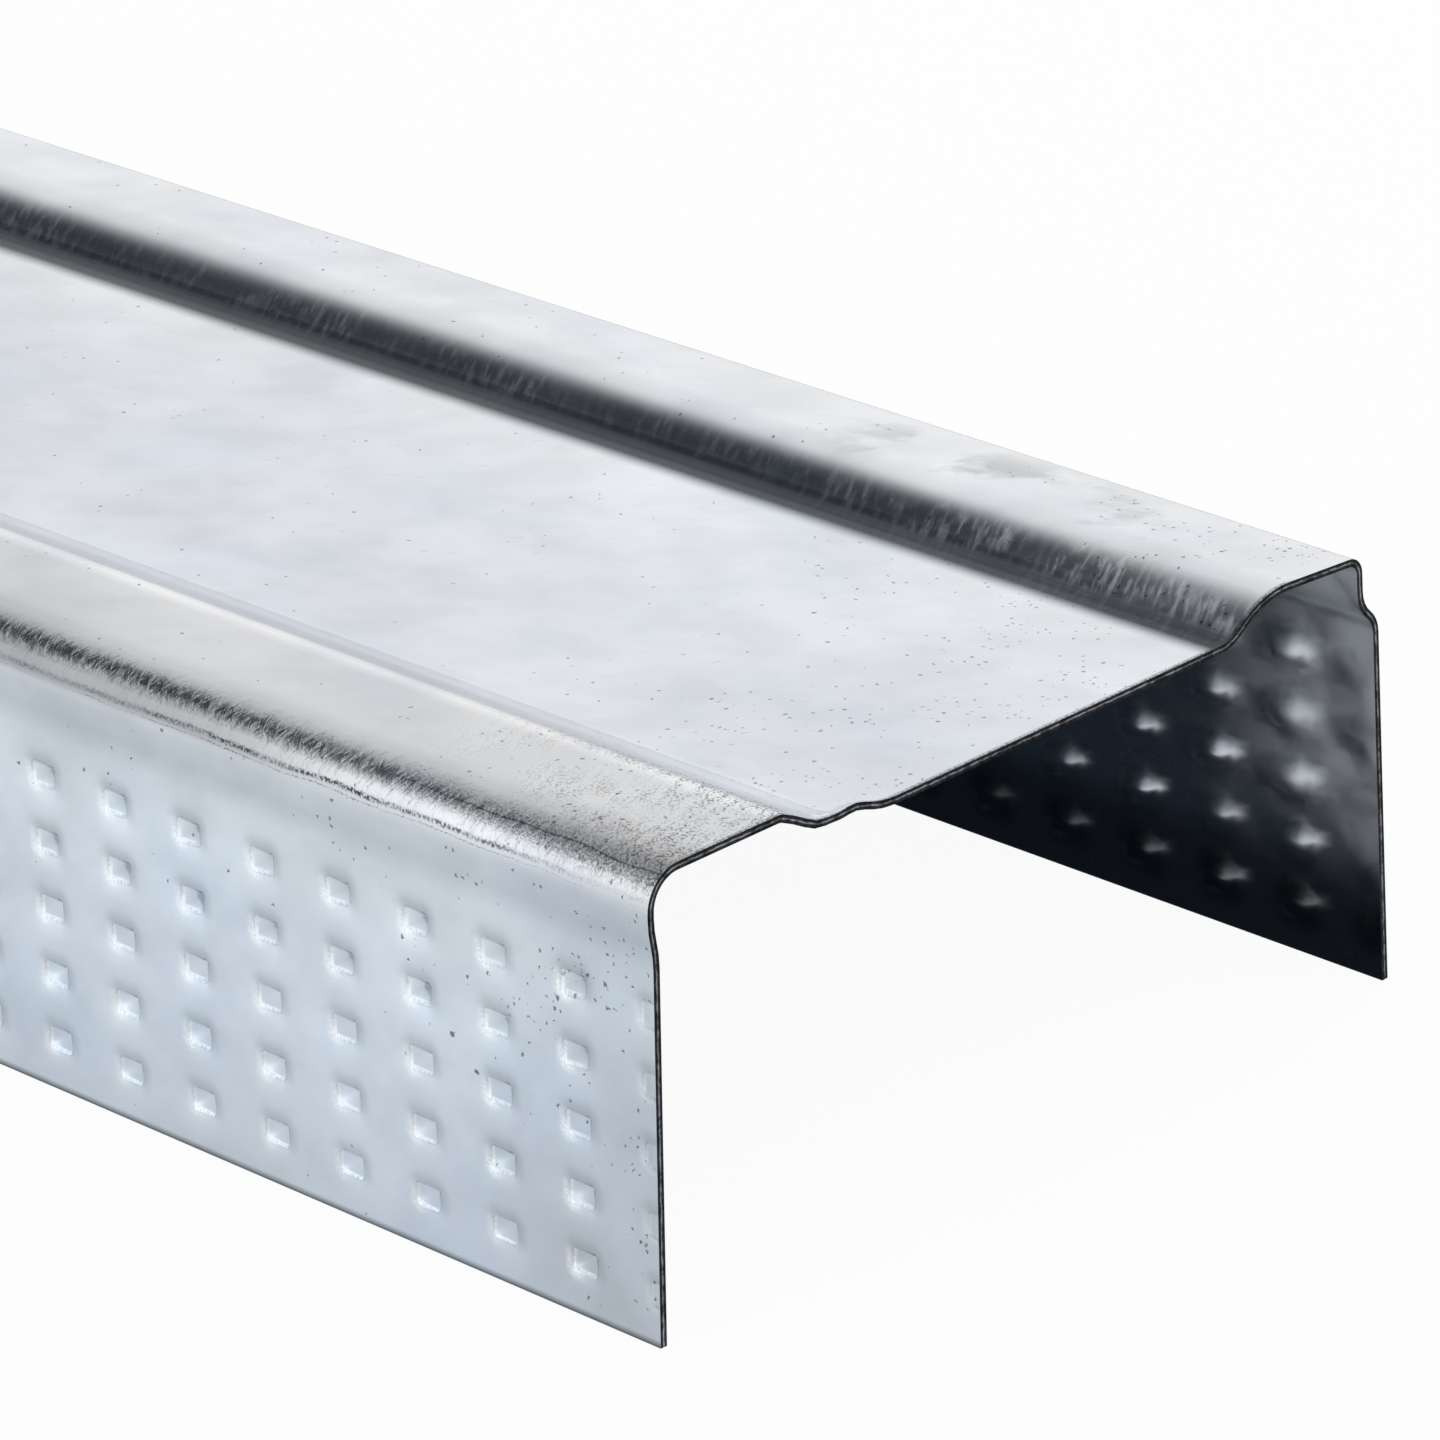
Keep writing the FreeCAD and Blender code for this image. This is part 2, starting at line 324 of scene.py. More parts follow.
rowUp = dimples["firstRow"] + np.arange(dimples["rows"]) * dimples["pitchUp"]
flangeUp = (rowUp[:, None] + cellStations(dimples["halfUp"], dimples["pitchUp"])[None, :]).reshape(-1)
flangeUp = np.concatenate([[0.0], flangeUp, [rowUp[-1] + dimples["pitchUp"] / 2]])
webRuns = [np.linspace(runs[name][0], runEnds[name], cuts + 1)[:-1] for name, cuts in runCuts.items()]
webPlaces = np.append(np.concatenate(webRuns), runEnds["farStepLow"])
allPlaces = np.concatenate([flangeUp, webPlaces, girth - flangeUp[::-1]])
print("stations set,", len(fineAlong), "fine,", len(coarseAlong), "coarse,",
      len(allPlaces), "round the girth")


def lattices():
    # the plain columns of the near flange and then of the far one, from the fine zone to the hidden end
    order = np.arange(dimples["fineColumns"], columnCount) * dimples["pitchAlong"]
    lead = dimples["rowLead"] * np.arange(dimples["rows"] - 1, -1, -1)
    yield dimples["nearFirst"] + order, rowUp, lead, 0.0, webPlaces[0]
    yield dimples["farFirst"] + order, girth - rowUp[::-1], lead[::-1], webPlaces[-1], girth


def developedSheet():
    # The flat sheet as points of (along, girth) with quads and triangles: a fine grid at the cut end, plain
    # dimples and a plain web along the rest, and zips between them. Faces turn to one side by their area.
    slack, grain = 1e-6, 1e-4        # millimetres: for a station on a border, and for points that are one
    points, faces, plain, count = [], {3: [], 4: []}, {3: [], 4: []}, 0

    def put(places, corners, flat):
        nonlocal count
        points.append(places)
        faces[corners.shape[1]].append(corners + count)
        plain[corners.shape[1]].append(np.full(len(corners), flat))
        count += len(places)

    # the fine grid leans a little, so that its stations follow each row's and each flange's own columns
    places, quads = gridPatch(fineAlong, allPlaces)
    farShift = dimples["farFirst"] - dimples["nearFirst"]
    ends = [0, webPlaces[0], webPlaces[-1], girth]
    shift = np.interp(places[:, 1], ends, [-rowShift, rowShift, farShift + rowShift, farShift - rowShift])
    fade = np.clip((fineEdge - places[:, 0]) / dimples["pitchAlong"] * 2, 0, 1)
    fade *= np.clip(places[:, 0] / dimples["halfAlong"], 0, 1)
    places[:, 0] += shift * fade
    put(places, quads, False)
    put(*gridPatch(coarseAlong, webPlaces), False)
    for columnAlong, rowPlace, lead, start, stop in lattices():
        places, quads, lines = dimplePatch(columnAlong, rowPlace, lead)
        put(places, quads, True)
        cutBorder = allPlaces[(allPlaces >= start - slack) & (allPlaces <= stop + slack)]
        endBorder = np.array([start, *(rowPlace + dimples["pitchUp"] / 2)[:-1], stop])
        for side, at in (("low", start), ("high", stop)):
            border = np.column_stack([coarseAlong, np.full(len(coarseAlong), at)])
            put(*zipPatch(lines[side], border, 0), True)
        for side, at, border in (("cut", fineEdge, cutBorder), ("end", length, endBorder)):
            border = np.column_stack([np.full(len(border), at), border])
            put(*zipPatch(lines[side], border, 1), True)

    places = np.concatenate(points)
    rounded = np.round(places / grain).astype(np.int64)
    _, first, merged = np.unique(rounded, axis=0, return_index=True, return_inverse=True)
    places = places[first]
    result = []
    for corners in (4, 3):
        made = merged.reshape(-1)[np.concatenate(faces[corners])]
        a, b = places[made[:, 2]] - places[made[:, 0]], places[made[:, -1]] - places[made[:, 1]]
        area = a[:, 0] * b[:, 1] - a[:, 1] * b[:, 0]
        made = np.where((area > 0)[:, None], made[:, ::-1], made)
        result.append((made, np.concatenate(plain[corners])))
    return places, result[0], result[1]


def buildTrack(materials):
    places, (quads, plainQuads), (tris, plainTris) = developedSheet()
    along, place = places.T
    inside = len(places)
    points = np.concatenate([sheetPoint(along, place, False), sheetPoint(along, place, True)]) * mm
    normals = np.concatenate([sheetNormal(along, place, False), sheetNormal(along, place, True)])

    # the sheet's rim: edges that only one face of the outer side uses
    edges = np.concatenate([np.stack([f, np.roll(f, -1, axis=1)], -1).reshape(-1, 2) for f in (quads, tris)])
    key = np.sort(edges, axis=1) @ np.array([inside, 1])
    _, firstUse, uses = np.unique(key, return_index=True, return_counts=True)
    rim = edges[firstUse[uses == 1]]
    rimQuads = np.stack([rim[:, 1], rim[:, 0], rim[:, 0] + inside, rim[:, 1] + inside], -1)
    allQuads = np.concatenate([quads, quads[:, ::-1] + inside, rimQuads])
    allTris = np.concatenate([tris, tris[:, ::-1] + inside])

    mesh = bpy.data.meshes.new("track_sheet")
    mesh.from_pydata(points.tolist(), [], allQuads.tolist() + allTris.tolist())
    slot = np.zeros(len(mesh.polygons), np.int32)
    slot[2 * len(quads):len(allQuads)] = 1
    mesh.polygons.foreach_set("material_index", slot)
    # what the materials read at each point: its place on the sheet, and where the nearest dimple is
    depth = np.repeat([0.0, section["sheet"]], inside)
    offAlong, offUp, _ = nearestDimple(along, place)
    carried = {
        "sheet": np.column_stack([np.tile(along, 2), np.tile(place, 2), depth]),
        "dimple": np.tile(np.column_stack([offAlong, offUp, fromFlat(offAlong, offUp)]), (2, 1)),
    }
    for name, values in carried.items():
        attribute = mesh.attributes.new(name, "FLOAT_VECTOR", "POINT")
        attribute.data.foreach_set("vector", values.astype(np.float32).ravel())
    for material in materials:
        mesh.materials.append(material)

    # the fine grid and the web take the true surface's direction, and the rim and plain dimples are faceted
    faceted = np.concatenate([plainQuads, plainQuads, np.ones(len(rim), bool), plainTris, plainTris])
    corners = np.concatenate([allQuads.ravel(), allTris.ravel()])
    sizes = np.repeat([4, 3], [len(allQuads), len(allTris)])
    faceNormals = np.empty(3 * len(mesh.polygons), np.float32)
    mesh.polygons.foreach_get("normal", faceNormals)
    faceNormals = np.repeat(faceNormals.reshape(-1, 3), sizes, axis=0)
    cornerNormals = np.where(np.repeat(faceted, sizes)[:, None], faceNormals, normals[corners])
    mesh.normals_split_custom_set(cornerNormals.tolist())
    mesh.update()
    track = bpy.data.objects.new("rolled_track", mesh)
    bpy.context.scene.collection.objects.link(track)
    print("track built,", 2 * len(allQuads) + len(allTris), "triangles,", len(rim), "rim edges")
    return track


def linear(hexColour):
    # sRGB hex to linear: the value over 12.92 near black, and else ((value + 0.055) / 1.055) to the power 2.4
    value = np.array([int(hexColour[i:i + 2], 16) / 255 for i in (1, 3, 5)])
    return (*np.where(value <= 0.04045, value / 12.92, ((value + 0.055) / 1.055) ** 2.4).tolist(), 1.0)


def addNode(tree, kind, links=None, stops=None, span=(), take=0, **settings):
    # Adds a node with its settings, ramp stops, values and links, and gives one of its outputs. A span is
    # four numbers: the start and end of the first input, and the result at each.
    node = tree.nodes.new("ShaderNode" + kind)
    for name, value in settings.items():
        setattr(node, name, value)
    if stops:
        while len(node.color_ramp.elements) < len(stops):
            node.color_ramp.elements.new(1.0)
        for element, (position, colour) in zip(node.color_ramp.elements, stops):
            element.position = position
            element.color = colour
    for name, value in {**(links or {}), **dict(enumerate(span, 1))}.items():
        if isinstance(value, bpy.types.NodeSocket):
            tree.links.new(value, node.inputs[name])
        else:
            node.inputs[name].default_value = value
    return node.outputs[take] if len(node.outputs) else node


def newMaterial(name):
    material = bpy.data.materials.new(name)
    material.use_nodes = True
    material.node_tree.nodes.clear()
    return material, material.node_tree


# settings that many nodes share
smooth = {"interpolation_type": "SMOOTHSTEP"}
inPlane = {"noise_dimensions": "2D"}
times = {"operation": "MULTIPLY"}
timesPlus = {"operation": "MULTIPLY_ADD"}
larger = {"operation": "MAXIMUM"}
colours = {"data_type": "RGBA", "take": 2}


def between(tree, value, start, stop, soft):
    # 1 from start to stop, and a smooth slope of the soft width round each of them
    half = soft / 2
    rise = addNode(tree, "MapRange", {0: value}, span=(start - half, start + half, 0.0, 1.0), **smooth)
    fall = addNode(tree, "MapRange", {0: value}, span=(stop - half, stop + half, 1.0, 0.0), **smooth)
    return addNode(tree, "Math", {0: rise, 1: fall}, **times)


def mottle(tree, sheet, turn, long, wide, detail, **settings):
    # Three separate noises of one size, drawn out to a length and width in millimetres and turned by degrees
    # from the rolling direction.
    mapped = addNode(tree, "Mapping", {"Vector": sheet, "Rotation": (0, 0, math.radians(turn)),
                                       "Scale": (long, wide, wide)}, vector_type="TEXTURE")
    noise = addNode(tree, "TexNoise", {"Vector": mapped, "Scale": 1.0, "Detail": detail, "Roughness": 0.55},
                    take=1, **settings)
    red = addNode(tree, "SeparateColor", {0: noise})
    return red, red.node.outputs[1], red.node.outputs[2]


def specks(tree, sheet, spacing, radius, amount):
    # Dots, one in each cell of a Voronoi pattern of the spacing, in millimetres. A cell has a dot where its
    # first random number is under the amount, and its second one sets how much of the radius the dot has.
    leastDot, core = 0.35, 0.5       # shares of the radius: the smallest dot, and the solid part of each
    distance = addNode(tree, "TexVoronoi", {"Vector": sheet, "Scale": 1 / spacing, "Randomness": 1.0},
                       take="Distance", voronoi_dimensions="2D")
    chance = addNode(tree, "SeparateColor", {0: distance.node.outputs["Color"]}, take=0)
    widest = radius / spacing
    size = chance.node.outputs[1]
    reach = addNode(tree, "MapRange", {0: size}, span=(0.0, 1.0, leastDot * widest, widest))
    inner = addNode(tree, "Math", {0: reach, 1: core}, **times)
    dot = addNode(tree, "MapRange", {0: distance, 1: reach, 2: inner, 3: 0.0, 4: 1.0}, **smooth)
    chosen = addNode(tree, "Math", {0: chance, 1: amount}, operation="LESS_THAN")
    return addNode(tree, "Math", {0: dot, 1: chosen}, **times)


begins = {name: run[0] for name, run in runs.items()}      # girth at which each run starts
bendStart = begins["nearBend"]

# The zinc's colours, patterns and relief, in millimetres.
skin = {
    # tones of the outer face: a run, millimetres from its start, and the colour there. The toe is a dark
    # line. The ramp also holds painted light and shade: the far foot carries a painted dark reflection, the
    # flange is painted darker just under the near bend, the near riser carries a grey painted shade, the near
    # strip is painted greyer towards its bend and lighter at its worn crest, and the flanges' blue tint is
    # partly the zinc's own and partly a painted cast of bluish light.
    "tones": [
        ("nearFlange", 0.0, "#5C636A"), ("nearFlange", 0.2, "#E4EFFB"), ("nearFlange", 6.0, "#E4EFFB"),
        ("nearFlange", 15.0, "#E3EEFA"), ("nearFlange", 25.0, "#DFEAF4"), ("nearBend", -0.4, "#C9D2DA"),
        ("nearBend", 0.8, "#DDE1E6"), ("nearBend", 1.6, "#ECEEF1"), ("nearBend", 2.6, "#B8BBBF"),
        ("nearStrip", -0.6, "#AFB1B4"), ("nearStrip", 0.6, "#BFC0C3"), ("nearStrip", 2.0, "#CFD0D2"),
        ("nearCrest", -1.2, "#D5D6D8"), ("nearCrest", -0.2, "#EDEDEE"), ("nearRiser", 0.6, "#BFC2C7"),
        ("nearRiser", 2.4, "#C9CDD2"), ("nearRiser", 3.6, "#DEE2E8"), ("panel", 8.0, "#DADEE4"),
        # painted reflection: the dark band over the far foot
        ("farFoot", -7.0, "#E4E7EC"), ("farFoot", -2.1, "#E6E9ED"), ("farFoot", -1.3, "#A4AAB0"),
        ("farFoot", -0.7, "#2C323B"), ("farFoot", 0.9, "#262C35"), ("farFoot", 1.8, "#A9AEB4"),
        ("farCrest", 2.0, "#CDD0D4"), ("farStrip", 0.0, "#E8EAED"), ("farBend", 0.0, "#E8EAED"),
        ("farStepLow", 1.0, "#CDD8E2"), ("farFlange", 28.0, "#C9D3DD"),
    ],
    "coolCloud": "#F2F6FD",
    "innerTone": "#EEF3F8",
    # layers of wear, dirt, painted shade and painted highlight over the tones, from the lowest: a mask and
    # its colour
    "layers": {
        "grimeShare": "#5C5955", "stain": "#75726E", "speck": "#4A4E55", "nicks": "#8F959E",
        "brinkShadeAndDirt": "#7E878F", "paintedHighlight": "#F6FBFF", "crease": "#3C4046", "drawn": "#3C4046",
    },
    # noises: turn in degrees from the rolling direction, length, width and octaves
    "patterns": {
        ("cloud", "cool"): (20, 22.0, 14.0, 3.0),
        ("smear", "smudge", "wobble"): (-35, 9.0, 6.0, 5.0),
        ("grit", "grain", "broken"): (50, 0.28, 0.22, 2.0),
        ("stroke", "nick"): (118, 1.7, 0.3, 3.0),
        ("drag", "film"): (74, 2.6, 0.7, 3.0),
    },
    # drivers that add a share of the first to the second: the sides of a dimple where painted shade and
    # painted highlight lie, and the wavering, crumbling lines along the bend
    "mixtures": {
        "shadeSide": ("offAlong", -0.55, "offUp"), "highlightSide": ("offUp", -0.75, "offAlong"),
        "waver": ("wobble", 0.7, "place"), "line": ("grit", 0.3, "waver"),
    },
    "smallSpeck": (0.65, 0.18),      # spacing and radius
    "largeSpeck": (2.2, 0.28),
    "ragged": 0.5,                   # how far the grit pulls a speck out of round
    "speckShare": (0.0, 1.0, 0.8, 0.65),      # span of their colour: off the panel, and on it
    "grimeShare": 0.85,              # most that grime covers
    "roughness": (0.3, 0.7, 0.24, 0.2),       # span by the clouds
    # what masks add to the light, as a share of it, to the roughness, and to the height
    "lightGain": {"stripLight": 0.16, "flangeShade": -1.0, "fade": -1.0},
    "roughGain": {"grime": 0.15, "worn": 0.08, "bendRough": 1.0, "haze": 1.0, "inner": 0.06},
    "heights": {"strokes": 0.05, "grainy": 0.07, "dents": 0.14},
}
# Where the wear, the dirt and the painted light and shade lie. A mask is the largest of its rows, and a row
# is the product of its factors. A factor names a pattern, a place or an earlier mask. Three numbers after it
# are
# a zone: its start, its end and the width of its soft edges. Four are a span: the start and end of what
# drives it, and the share at each. Places are millimetres round the girth, from the cut or from a dimple.
wear = {
    # zones that other masks use
    "nearCut": [[("along", 2.0, 34.0, 1.0, 0.0)]],
    "onFlange": [[("place", bendStart, bendStart - 8.0, 0.0, 1.0)]],
    "onBend": [[("place", bendStart + 1.2, begins["nearStrip"] + 0.2, 1.4)]],
    "onPanel": [[("place", begins["nearRiser"], begins["farFoot"], 3.0)]],
    "onRiser": [[("place", begins["farFoot"] - 1.3, begins["farCrest"] + 3.4, 1.2)]],
    "corner": [[("place", bendStart + 1.6, begins["nearStrip"] + 3.0, 1.6), ("along", 1.0, 20.0, 1.0, 0.0)]],
    # soft clouds, some of them cooler
    "clouds": [[("cloud", 0.3, 0.7, 0.95, 1.03), ("smear", 0.3, 0.65, 0.945, 1.02),
                ("along", 45.0, 110.0, 1.0, 0.95)]],
    "cooler": [[("cool", 0.45, 0.7, 0.0, 0.55)]],
    # painted light and shade: near strip and riser lighter towards the cut, near flange darker there, near
    # bend darker away from it
    "stripLight": [[("place", begins["nearStrip"] + 2.4, begins["nearFoot"] + 0.4, 2.0), ("nearCut",)]],
    "flangeShade": [[("along", 1.0, 22.0, 0.17, 0.0), ("place", bendStart - 3.0, bendStart - 15.0, 0.15, 1.0),
              ("onFlange",)]],
    "fade": [[("along", 16.0, 50.0, 0.0, 0.5), ("place", bendStart + 0.4, bendStart + 2.3, 1.0)]],
    # brown-grey grit from handling on the near strip, in the corner at the cut and on the crest, in clots
    "soiled": [[("smear", 0.36, 0.6, 0.08, 0.85), ("place", bendStart + 2.6, begins["nearRiser"], 1.2),
                ("nearCut",)],
               [("corner",)],
               [("place", begins["nearCrest"] - 0.4, begins["nearRiser"] + 1.2, 0.8), ("nearCut",)]],
    "grime": [[("soiled",), ("film", 0.4, 0.58, 0.3, 1.0), ("grit", 0.43, 0.62, 0.1, 1.0)]],
    # soft stains of it on the far strip
    "stain": [[("smudge", 0.47, 0.62, 0.0, 0.4), ("wobble", 0.42, 0.58, 0.3, 1.0),
               ("place", begins["farCrest"] + 4.0, begins["farBend"] - 1.0, 4.0),
               ("along", 16.0, 44.0, 16.0)]],
    # specks in clusters, crowded near the cut, few low on the flange, and wide ones on it and in the corner
    "upper": [[("place", bendStart - 17.0, bendStart - 9.0, 0.12, 1.0)], [("along", 2.0, 6.0, 1.0, 0.0)]],
    "crowd": [[("smudge", 0.44, 0.64, 0.1, 1.0), ("along", 0.0, 40.0, 0.4, 0.04), ("upper",)]],
    "wide": [[("onFlange",)], [("corner",)]],
    "rare": [[("crowd",), ("wide",)]],
    # a few faint nicks across the panel
    "nicks": [[("nick", 0.68, 0.78, 0.0, 1.0), ("onPanel",), ("smear", 0.52, 0.62, 0.0, 0.4)]],
    # pale dusty scuffs dragged across the far riser, most of them near the cut
    "scuffs": [[("drag", 0.4, 0.74, 0.04, 1.0), ("onRiser",), ("along", 6.0, 50.0, 0.45, 0.11),
                ("smudge", 0.38, 0.6, 0.3, 1.3)]],
    # painted shade along the edge of each dimple, strongest on its upper and right side, a soft painted shade
    # outside its upper and right side, and dark chips of dirt on the lower step
    "brinkShadeAndDirt": [[("off", dimples["edge"] * 0.7, dimples["edge"] * 1.3, dimples["edge"] * 0.9),
               ("grit", 0.34, 0.62, 0.06, 0.6), ("shadeSide", -1.5, 0.5, 0.0, 1.0)],
              [("off", 0.15, 1.5, 0.3, 0.0), ("off", 0.0, 0.2, 0.0, 1.0), ("shadeSide", -0.9, 1.0, 0.0, 1.0)],
              [("broken", 0.4, 0.6, 0.25, 1.0), ("offUp", -0.6, -0.85, 0.0, 0.35),
               ("off", 0.25, 0.4, 1.0, 0.0)]],
    # painted highlight outside the other side of each dimple's edge, and on the wall of the step there
    "highlightZone": [[("highlightSide", 0.5, 1.8, 0.0, 1.0), ("off", 0.1, 0.7, 0.6)],
               [("offAlong", 0.85, 1.1, 0.0, 0.9), ("off", 0.02, 0.2, 0.12)]],
    "paintedHighlight": [[("highlightZone",), ("along", 2.0, 5.0, 0.3, 0.8), ("grain", 0.38, 0.58, 0.5, 1.2)]],
    # two crumbling creases along the near bend, and a finer fold above them near the cut
    "lines": [[("line", bendStart + 1.2, bendStart + 1.52, 0.26)],
              [("line", bendStart + 0.84, bendStart + 0.9, 0.12)]],
    "crease": [[("lines",), ("smudge", 0.36, 0.6, 0.25, 1.0), ("grain", 0.4, 0.56, 0.15, 1.0),
                ("along", 2.0, 9.0, 0.3, 1.0)],
               [("line", bendStart + 3.36, bendStart + 3.48, 0.14), ("along", 14.0, 32.0, 0.85, 0.0)]],
    # a dark line where the shear drew the web down
    "drawn": [[("along", 0.1, 0.42, 0.8, 0.0), ("place", begins["nearStrip"], begins["farStrip"], 2.0),
               ("grit", 0.35, 0.6, 0.4, 1.0)]],
    # painted shade: the inner face darker along the far toe, most on the bumps there
    "innerShade": [[("place", girth - 9.5, girth - 6.0, 0.0, 1.0), ("off", 0.4, 2.2, -0.74, -0.54)]],
    # rougher: the worn riser, the bend, and a haze inside the cut end
    "worn": [[("onRiser",), ("nearCut",)]],
    "bendRough": [[("onBend",), ("along", 5.0, 60.0, 0.11, 0.02)]],
    "haze": [[("along", 2.0, 22.0, 0.3, 0.0), ("place", girth - 4.0, girth - 16.0, 0.0, 1.0),
              ("smear", 0.35, 0.62, 0.5, 1.2), ("inner",)]],
    # relief of the near bend: short strokes where rollers dragged the zinc, grain near the cut, and dents
    "strokes": [[("stroke", 0.48, 0.7, 0.0, 1.0), ("onBend",), ("along", 4.0, 60.0, 1.0, 0.35),
                 ("film", 0.38, 0.6, 0.3, 1.2)]],
    "grainy": [[("onBend",), ("nearCut",), ("grain",)]],
    "dents": [[("film",), ("onBend",)]],
}


def sheetDrivers(tree):
    # what drives the wear, by name: places on the sheet and from the nearest dimple, noises and mixtures
    sheet = addNode(tree, "Attribute", attribute_name="sheet", take="Vector")
    along = addNode(tree, "SeparateXYZ", {0: sheet})
    pressed = addNode(tree, "Attribute", attribute_name="dimple", take="Vector")
    offAlong = addNode(tree, "SeparateXYZ", {0: pressed})
    face = {"sheet": sheet}
    face.update(zip(("along", "place", "depth"), along.node.outputs))
    face.update(zip(("offAlong", "offUp", "off"), offAlong.node.outputs))
    middle = section["sheet"] / 2
    face["inner"] = addNode(tree, "Math", {0: face["depth"], 1: middle}, operation="GREATER_THAN")
    for names, pattern in skin["patterns"].items():
        face.update(zip(names, mottle(tree, sheet, *pattern, **inPlane)))
    for name, (added, share, base) in skin["mixtures"].items():
        face[name] = addNode(tree, "Math", {0: face[added], 1: share, 2: face[base]}, **timesPlus)
    return face


def layMasks(tree, face):
    # adds the masks of the wear to the drivers, each the largest of its rows of multiplied factors
    def factor(driver, *numbers):    # a zone, a span or the driver itself
        if len(numbers) == 3:
            return between(tree, face[driver], *numbers)
        if numbers:
            return addNode(tree, "MapRange", {0: face[driver]}, span=numbers, **smooth)
        return face[driver]

    def joined(parts, how):
        total = parts[0]
        for part in parts[1:]:
            total = addNode(tree, "Math", {0: total, 1: part}, **how)
        return total

    for name, rows in wear.items():
        face[name] = joined([joined([factor(*each) for each in row], times) for row in rows], larger)


def addSpecks(tree, face):
    # ragged dots, small and large, fainter on the panel
    pull = addNode(tree, "CombineXYZ", {0: face["grit"], 1: face["broken"]})
    pullShare = (skin["ragged"], skin["ragged"], 0.0)
    ragged = addNode(tree, "VectorMath", {0: pull, 1: pullShare, 2: face["sheet"]}, **timesPlus)
    small = specks(tree, ragged, *skin["smallSpeck"], face["crowd"])
    large = specks(tree, ragged, *skin["largeSpeck"], face["rare"])
    dots = addNode(tree, "Math", {0: small, 1: large}, **larger)
    share = addNode(tree, "MapRange", {0: face["onPanel"]}, span=skin["speckShare"])
    return addNode(tree, "Math", {0: dots, 1: share}, **times)


def outerTone(tree, face):
    # the tone of each run, times the painted light and shade, with the layers of wear, dirt, painted shade
    # and painted highlight over it
    share = addNode(tree, "Math", {0: face["place"], 1: girth}, operation="DIVIDE")
    stops = [((begins[name] + off) / girth, linear(colour)) for name, off, colour in skin["tones"]]
    tone = addNode(tree, "ValToRGB", {0: share}, stops=stops)
    light = face["clouds"]
    for name, gain in skin["lightGain"].items():
        part = addNode(tree, "Math", {0: face[name], 1: gain, 2: 1.0}, **timesPlus)
        light = addNode(tree, "Math", {0: light, 1: part}, **times)
    for share, colour in ((1.0, light), (face["cooler"], linear(skin["coolCloud"]))):
        tone = addNode(tree, "Mix", {0: share, 6: tone, 7: colour}, blend_type="MULTIPLY", **colours)
    for name, colour in skin["layers"].items():
        tone = addNode(tree, "Mix", {0: face[name], 6: tone, 7: linear(colour)}, **colours)
    return tone


def galvanisedSheet():
    # Hot-dip zinc on cold-rolled steel: a cool grey metal with a satin, cloudy sheen, which dulls and darkens
    # where rollers and handling rubbed it. Its colour also carries painted shade and painted highlights.
    material, tree = newMaterial("hot_dip_galvanised_rolled_sheet")
    face = sheetDrivers(tree)
    layMasks(tree, face)
    face["grimeShare"] = addNode(tree, "Math", {0: face["grime"], 1: skin["grimeShare"]}, **times)
    face["speck"] = addSpecks(tree, face)
    outer = outerTone(tree, face)
    # the inner face's painted shade along the far toe, as a factor
    dim = addNode(tree, "Math", {0: face["innerShade"], 1: 1.0}, operation="ADD")
    inner = linear(skin["innerTone"])
    inner = addNode(tree, "Mix", {0: 1.0, 6: inner, 7: dim}, blend_type="MULTIPLY", **colours)
    tone = addNode(tree, "Mix", {0: face["inner"], 6: outer, 7: inner}, **colours)
    metal = addNode(tree, "Math", {0: 1.0, 1: face["scuffs"]}, operation="SUBTRACT")

    rough = addNode(tree, "MapRange", {0: face["cloud"]}, span=skin["roughness"])
    for name, gain in skin["roughGain"].items():
        rough = addNode(tree, "Math", {0: face[name], 1: gain, 2: rough}, **timesPlus)
    height = 0.0
    for name, size in skin["heights"].items():
        height = addNode(tree, "Math", {0: face[name], 1: size, 2: height}, **timesPlus)
    bump = addNode(tree, "Bump", {"Strength": 1.0, "Distance": mm, "Height": height})
    look = {"Base Color": tone, "Metallic": metal, "Roughness": rough, "Normal": bump}
    addNode(tree, "OutputMaterial", {"Surface": addNode(tree, "BsdfPrincipled", look)})
    return material


rimLook = {
    # tones by the share of the sheet's thickness
    "tones": [(0.0, "#1F2125"), (0.52, "#2A2C31"), (0.62, "#7C8186"), (0.70, "#9CA0A4"), (0.78, "#34363B"),
              (1.0, "#26282C")],
    "pattern": (0, 0.7, 0.7, 3.0),   # as the noises of the skin
    "wander": 0.34,                  # how far the bright line leaves its place, as a share of the sheet
    "light": (0.35, 0.65, 0.35, 1.6),
    "height": 0.12,                  # millimetres
    "roughness": 0.42,
}


def shearedEdge():
    # Sheared steel: a dark torn face with one bright burnished line along it.
    material, tree = newMaterial("sheared_steel_edge")
    sheet = addNode(tree, "Attribute", attribute_name="sheet", take="Vector")
    depth = addNode(tree, "SeparateXYZ", {0: sheet}, take="Z")
    wander, torn, _ = mottle(tree, sheet, *rimLook["pattern"])
    share = addNode(tree, "Math", {0: depth, 1: section["sheet"]}, operation="DIVIDE")
    share = addNode(tree, "Math", {0: wander, 1: rimLook["wander"], 2: share}, **timesPlus)
    stops = [(at, linear(colour)) for at, colour in rimLook["tones"]]
    tone = addNode(tree, "ValToRGB", {0: share}, stops=stops)
    light = addNode(tree, "MapRange", {0: torn}, span=rimLook["light"], **smooth)
    tone = addNode(tree, "Mix", {0: 1.0, 6: tone, 7: light}, blend_type="MULTIPLY", **colours)
    height = addNode(tree, "Math", {0: torn, 1: rimLook["height"]}, **times)
    bump = addNode(tree, "Bump", {"Strength": 1.0, "Distance": mm, "Height": height})
    look = {"Base Color": tone, "Metallic": 1.0, "Roughness": rimLook["roughness"], "Normal": bump}
    addNode(tree, "OutputMaterial", {"Surface": addNode(tree, "BsdfPrincipled", look)})
    return material


track = buildTrack([galvanisedSheet(), shearedEdge()])
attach(track, "root")
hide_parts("track")

